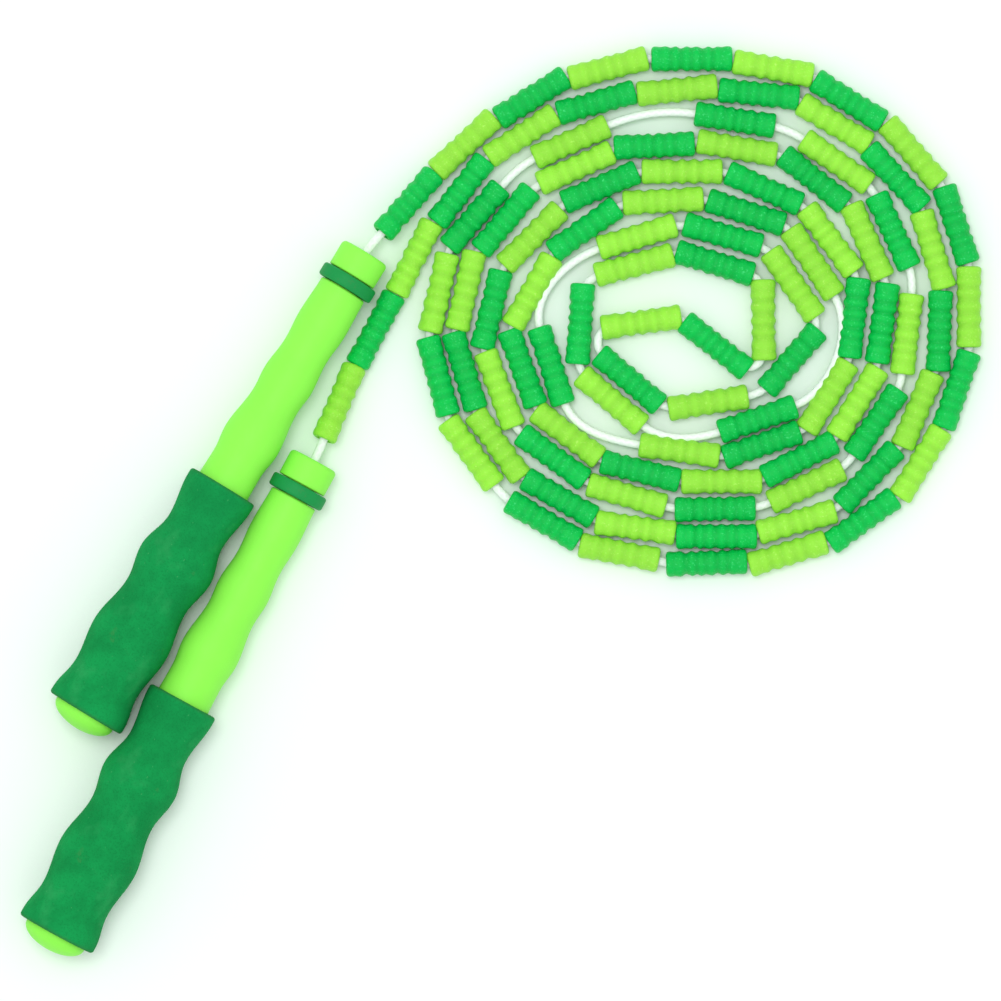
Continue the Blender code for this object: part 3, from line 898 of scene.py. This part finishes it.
class JUMPROPE_OT_foam(bpy.types.Operator):
    """The foam sleeves over the rear half of the handles"""

    bl_idname = "jumprope.foam"
    bl_label = "Foam grips"

    def execute(self, context):
        handles = context.scene.jump_rope_handles
        front, back = FOAM_BACK - handles.foam_length, FOAM_BACK
        material = pitted_foam(handles, front, back)
        edge = FOAM_EDGE
        for number, side in enumerate(SIDES):
            places = stretch(front + edge, back - edge)
            outer = [(place, wave_radius(place) + FIT + handles.foam_wall) for place in places]
            lining = stretch(front, back, FOAM_LINING_STEP)
            inner = [(place, wave_radius(place) + FIT) for place in lining]
            outline = rounded((front + edge, outer[0][1] - edge), edge, 0, 90)
            outline += outer[1:-1]
            outline += rounded((back - edge, outer[-1][1] - edge), edge, 90, 180)
            outline += inner[::-1]
            bm = turn_outline(outline, FOAM_SIDES, FOAM_DENT, 5.0 * number)
            add_piece(
                f"foam_sleeve_{side}",
                bm,
                material,
                f"handle_{side}",
                handle_place(side),
                (f"foam_grip_{side}",),
                sharp=60.0,
            )
        return {"FINISHED"}


class JUMPROPE_OT_noses(bpy.types.Operator):
    """The nose caps and the green rings behind them"""

    bl_idname = "jumprope.noses"
    bl_label = "Noses and collars"

    def execute(self, context):
        handles = context.scene.jump_rope_handles
        lime, green = moulded_lime(handles), collar_plastic(handles)
        radius, edge = handles.nose_radius, NOSE_EDGE
        for side in SIDES:
            body, place = f"handle_{side}", handle_place(side)
            outline = rounded((NOSE_LIP, NOSE_BORE + NOSE_LIP), NOSE_LIP, -90, 0, 4)
            outline += rounded((edge, radius - edge), edge, 0, 90, 6)
            outline += [(NOSE_LENGTH - BEVEL, radius - 0.05 * MM), (NOSE_LENGTH, radius - BEVEL)]
            outline += [(NOSE_LENGTH, SPIGOT_RADIUS), (SPIGOT_BACK, SPIGOT_RADIUS)]
            outline.append((SPIGOT_BACK, NOSE_BORE))
            bm = turn_outline(outline, TURNED_SIDES)
            add_piece(f"nose_{side}", bm, lime, body, place, (f"nose_cap_{side}",))
            ring, soft = handles.collar_radius, COLLAR_EDGE
            outline = [(COLLAR_FRONT, SPIGOT_RADIUS + FIT)]
            outline += rounded((COLLAR_FRONT + soft, ring - soft), soft, 0, 90)
            outline += rounded((COLLAR_BACK - soft, ring - soft), soft, 90, 180)
            outline.append((COLLAR_BACK, SPIGOT_RADIUS + FIT))
            bm = turn_outline(outline, TURNED_SIDES, COLLAR_DENT, 3.0)
            add_piece(f"collar_{side}", bm, green, body, place, (f"collar_ring_{side}",))
        return {"FINISHED"}


class JUMPROPE_OT_end_caps(bpy.types.Operator):
    """The domed plugs in the rear ends"""

    bl_idname = "jumprope.end_caps"
    bl_label = "End caps"

    def execute(self, context):
        material = moulded_lime(context.scene.jump_rope_handles)
        radius = wave_radius(TUBE_BACK)
        hollow = SPIGOT_RADIUS - CAP_PLUG_WALL
        plug_end = CAP_FRONT - CAP_PLUG_LENGTH
        for side in SIDES:
            outline = [(CAP_FRONT + CAP_RIM + CAP_DOME, 0.0)]
            for i in range(1, CAP_DOME_STEPS + 1):
                angle = math.radians(90.0 * i / CAP_DOME_STEPS)
                behind = CAP_FRONT + CAP_RIM + CAP_DOME * math.cos(angle)
                outline.append((behind, radius * math.sin(angle)))
            outline += [(CAP_FRONT + BEVEL, radius), (CAP_FRONT, radius - BEVEL)]
            outline += [(CAP_FRONT, SPIGOT_RADIUS), (plug_end, SPIGOT_RADIUS)]
            outline += [(plug_end, hollow), (CAP_FRONT, hollow), (CAP_FRONT, 0.0)]
            bm = turn_outline(outline, TURNED_SIDES)
            add_piece(
                f"domed_cap_{side}",
                bm,
                material,
                f"end_cap_{side}",
                handle_place(side),
                (f"end_cap_{side}",),
            )
        return {"FINISHED"}


class JUMPROPE_OT_inner(bpy.types.Operator):
    """Finishes for the washers and knots inside the handles"""

    bl_idname = "jumprope.inner"
    bl_label = "Washers and knots"

    def execute(self, context):
        washer, knot = zinc(), knotted_cord(context.scene.jump_rope_rope)
        for side in SIDES:
            for name, material in ((f"cord_washer_{side}", washer), (f"cord_knot_{side}", knot)):
                frame["nodes"][name].material_slots[0].material = material
        return {"FINISHED"}


class JUMPROPE_PT_panel(bpy.types.Panel):
    """The jump rope's pieces, sizes and colours"""

    bl_idname = "JUMPROPE_PT_panel"
    bl_label = "Jump Rope"
    bl_space_type = "VIEW_3D"
    bl_region_type = "UI"
    bl_category = "Jump Rope"

    def draw(self, context):
        column = self.layout.column()
        for operator in OPERATORS:
            column.operator(operator.bl_idname)
        for name in SETTINGS:
            group = getattr(context.scene, name)
            for key in group.bl_rna.properties.keys():
                if key not in ("rna_type", "name"):
                    column.prop(group, key)


OPERATORS = (
    JUMPROPE_OT_stage,
    JUMPROPE_OT_rope,
    JUMPROPE_OT_tubes,
    JUMPROPE_OT_foam,
    JUMPROPE_OT_noses,
    JUMPROPE_OT_end_caps,
    JUMPROPE_OT_inner,
)
SETTINGS = {
    "jump_rope_rope": RopeSettings,
    "jump_rope_handles": HandleSettings,
    "jump_rope_stage": StageSettings,
}


def register():
    """Makes the settings, operators and panel known."""
    for cls in (*SETTINGS.values(), *OPERATORS, JUMPROPE_PT_panel):
        bpy.utils.register_class(cls)
    for name, group in SETTINGS.items():
        setattr(bpy.types.Scene, name, PointerProperty(type=group))


def unregister():
    """Takes them away again."""
    for name in SETTINGS:
        delattr(bpy.types.Scene, name)
    for cls in (JUMPROPE_PT_panel, *reversed(OPERATORS), *reversed(list(SETTINGS.values()))):
        bpy.utils.unregister_class(cls)


def main():
    """Makes every piece."""
    register()
    for operator in OPERATORS:
        group, name = operator.bl_idname.split(".")
        getattr(getattr(bpy.ops, group), name)()


if __name__ == "__main__":
    main()
